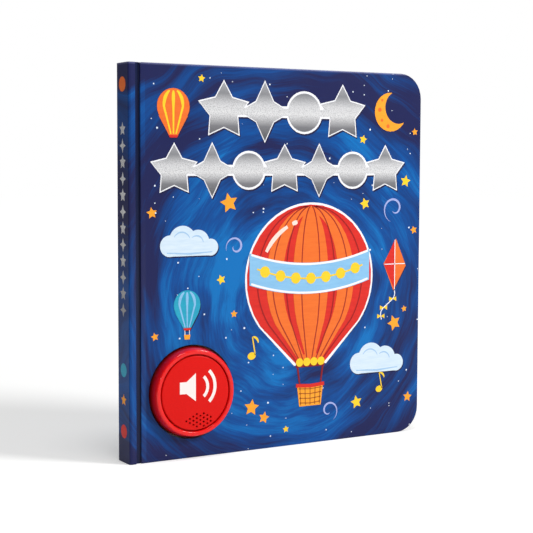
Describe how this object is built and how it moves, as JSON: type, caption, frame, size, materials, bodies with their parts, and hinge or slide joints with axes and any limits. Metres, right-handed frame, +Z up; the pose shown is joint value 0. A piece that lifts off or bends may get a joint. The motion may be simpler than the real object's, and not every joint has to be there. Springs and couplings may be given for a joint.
{
  "type": "sound book",
  "caption": "Closed cased board book with rounded fore-edge corners, hinged covers and a large round press button for sound.",
  "frame": {"origin": "centre of the bounding box in X and Y, on the surface that the closed book stands on", "axes": "+X along the cover from the spine to the fore-edge, -Y out of the front cover, +Z up the standing book"},
  "size_m": [0.236, 0.0252, 0.264],
  "materials": {
    "printed_sheet": "satin laminated print, deep blue",
    "grey_board": "raw grey board",
    "page_board": "white coated page board",
    "red_housing": "moulded gloss",
    "red_disc": "moulded fine satin",
    "black_plastic": "moulded fine grain",
    "bright_metal": "nickel plated",
    "cell_steel": "nickel plated can",
    "circuit_green": "solder mask",
    "chip_resin": "glossy black resin",
    "plunger_plastic": "ivory plastic",
    "cone_paper": "black pressed paper",
    "magnet_steel": "zinc grey",
    "wire_red": "soft sleeve",
    "wire_black": "soft sleeve",
    "silver_foil": "stamped silver foil",
    "ink_white": "print",
    "ink_red": "print",
    "ink_dark_red": "print",
    "ink_orange": "print",
    "ink_amber": "print",
    "ink_yellow": "print",
    "ink_light_blue": "print",
    "ink_cloud": "print",
    "ink_blue": "print",
    "ink_teal": "print"
  },
  "bodies": {
    "book_block": {"page_block": "page_board", "spine_board": "grey_board", "spine_wrap": "printed_sheet", "spine_dot": "ink_orange", "spine_star": "ink_amber"},
    "front_cover": {"front_board": "grey_board", "front_wrap": "printed_sheet", "front_pasted_leaf": "page_board", "print_sweep_right": "ink_blue", "print_sweep_left": "ink_blue", "print_upper_garland_ground": "ink_white", "print_upper_garland_foil": "silver_foil", "print_lower_garland_ground": "ink_white", "print_lower_garland_foil": "silver_foil", "print_balloon_envelope": "ink_red", "print_balloon_gores": "ink_orange", "print_balloon_band": "ink_light_blue", "print_balloon_lamps": "ink_yellow", "print_balloon_ropes": "ink_dark_red", "print_balloon_basket": "ink_amber", "print_cloud_left": "ink_cloud", "print_cloud_right": "ink_cloud", "print_moon": "ink_amber", "print_kite": "ink_orange", "print_far_balloon_teal": "ink_teal", "print_far_balloon_orange": "ink_orange", "print_star_1": "ink_amber", "print_star_2": "ink_amber", "print_star_3": "ink_amber"},
    "back_cover": {"back_board": "grey_board", "back_wrap": "printed_sheet", "back_pasted_leaf": "page_board", "sound_unit_base": "black_plastic", "button_housing": "red_housing", "speaker_frame": "bright_metal", "speaker_cone": "cone_paper", "speaker_magnet": "magnet_steel", "circuit_board": "circuit_green", "sound_chip": "chip_resin", "switch_body": "black_plastic", "return_spring": "bright_metal", "battery_cell_1": "cell_steel", "battery_cell_2": "cell_steel", "battery_cell_3": "cell_steel", "battery_contact_inner": "bright_metal", "battery_contact_outer": "bright_metal", "battery_door": "black_plastic", "battery_door_screw": "bright_metal", "housing_screw_1": "bright_metal", "housing_screw_2": "bright_metal", "housing_screw_3": "bright_metal", "circuit_screw_1": "bright_metal", "circuit_screw_2": "bright_metal", "speaker_wire_red": "wire_red", "speaker_wire_black": "wire_black"},
    "button": {"button_disc": "red_disc", "switch_plunger": "plunger_plastic", "sign_loudspeaker": "ink_white", "sign_wave": "ink_white"}
  },
  "joints": [
    {"name": "front_cover_hinge", "type": "hinge", "parent": "book_block", "child": "front_cover", "pos_m": [-0.1111, -0.006, 0.132], "axis": [0, 0, -1], "range_deg": [0, 180]},
    {"name": "back_cover_hinge", "type": "hinge", "parent": "book_block", "child": "back_cover", "pos_m": [-0.1111, 0.0126, 0.132], "axis": [0, 0, 1], "range_deg": [0, 180]},
    {"name": "button_press", "type": "slide", "parent": "back_cover", "child": "button", "axis": [0, 1, 0], "range_m": [0, 0.001], "stiffness_N_per_m": 600, "springref_m": -0.002, "deforming": ["return_spring"]}
  ]
}
